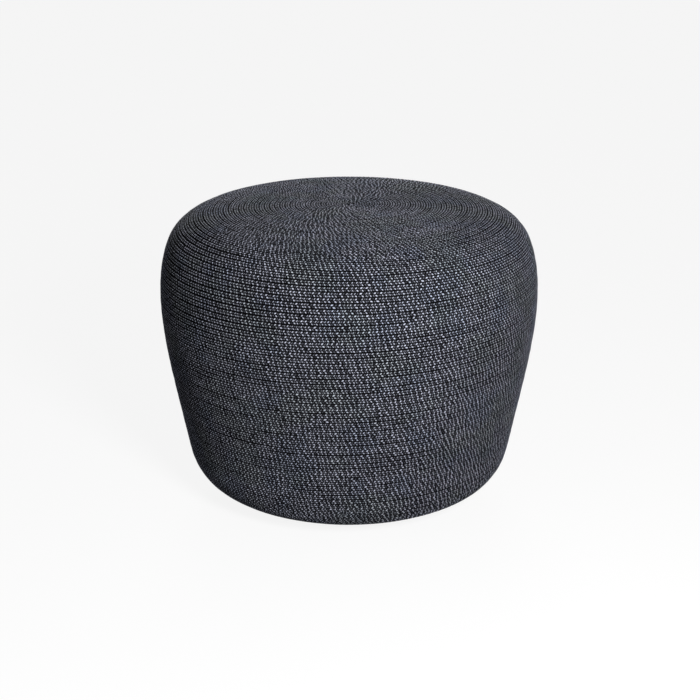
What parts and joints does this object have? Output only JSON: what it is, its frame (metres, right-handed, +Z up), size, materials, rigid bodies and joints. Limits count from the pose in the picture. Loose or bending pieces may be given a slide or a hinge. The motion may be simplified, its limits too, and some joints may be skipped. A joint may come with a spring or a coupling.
{
  "type": "outdoor ottoman footstool",
  "caption": "Round outdoor footstool wound all over in a charcoal braided cord, with a shallow crowned top, a full rounded shoulder and sides that taper in to a soft lower corner.",
  "frame": {"origin": "on the floor, under the middle of the footstool", "axes": "+Z up, +X to the right in the picture, -Y towards the picture's camera"},
  "size_m": [0.508, 0.508, 0.402],
  "materials": {
    "braided_cord": "matte heathered charcoal braid",
    "liner_mesh": "matte black open mesh",
    "quick_dry_foam": "open-cell grey foam",
    "coated_aluminium": "satin dark grey powder coat",
    "black_plastic": "fine-grained matte black",
    "stainless_steel": "plain stainless"
  },
  "bodies": {
    "root": {"base_plate": "black_plastic", "base_ring": "coated_aluminium", "clip_screw": "stainless_steel", "cord_end_clip": "stainless_steel", "cord_winding": "braided_cord", "cross_bar_left": "coated_aluminium", "cross_bar_long": "coated_aluminium", "cross_bar_right": "coated_aluminium", "deck_screw_1": "stainless_steel", "deck_screw_2": "stainless_steel", "deck_screw_3": "stainless_steel", "deck_screw_4": "stainless_steel", "deck_screw_5": "stainless_steel", "deck_screw_6": "stainless_steel", "deck_screw_7": "stainless_steel", "deck_screw_8": "stainless_steel", "frame_rib_1": "coated_aluminium", "frame_rib_2": "coated_aluminium", "frame_rib_3": "coated_aluminium", "frame_rib_4": "coated_aluminium", "frame_rib_5": "coated_aluminium", "frame_rib_6": "coated_aluminium", "frame_rib_7": "coated_aluminium", "frame_rib_8": "coated_aluminium", "glide_1": "black_plastic", "glide_2": "black_plastic", "glide_3": "black_plastic", "glide_4": "black_plastic", "glide_5": "black_plastic", "glide_6": "black_plastic", "glide_screw_1": "stainless_steel", "glide_screw_2": "stainless_steel", "glide_screw_3": "stainless_steel", "glide_screw_4": "stainless_steel", "glide_screw_5": "stainless_steel", "glide_screw_6": "stainless_steel", "mesh_liner": "liner_mesh", "seat_deck": "coated_aluminium", "seat_ring": "coated_aluminium", "side_foam": "quick_dry_foam", "top_pad": "quick_dry_foam", "waist_hoop": "coated_aluminium"}
  },
  "joints": []
}
